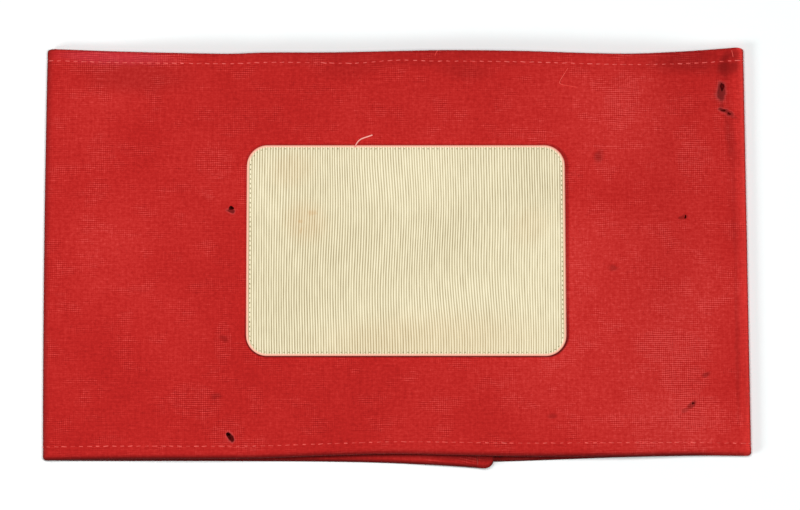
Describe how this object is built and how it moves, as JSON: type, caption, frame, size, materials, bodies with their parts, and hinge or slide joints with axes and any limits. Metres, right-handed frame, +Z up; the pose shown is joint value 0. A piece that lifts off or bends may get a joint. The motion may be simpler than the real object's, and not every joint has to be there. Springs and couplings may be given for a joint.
{
  "type": "armband",
  "caption": "Cloth armband: a hemmed strip folded into a flat loop, lapped and sewn at the back, with a blank ribbed label on its front.",
  "frame": {"origin": "bottom centre of the armband as it lies flat, on the surface it rests on", "axes": "+Z up from the surface it lies on, towards the front; +X along the flat loop, to the right as the front is seen; +Y to the band's upper edge"},
  "size_m": [0.2018, 0.1194, 0.0103],
  "materials": {
    "red_wool": "matt felted plain weave",
    "cream_rib": "matt ribbed weave with a slight sheen"
  },
  "bodies": {
    "root": {"band": "red_wool", "patch": "cream_rib"}
  },
  "joints": []
}
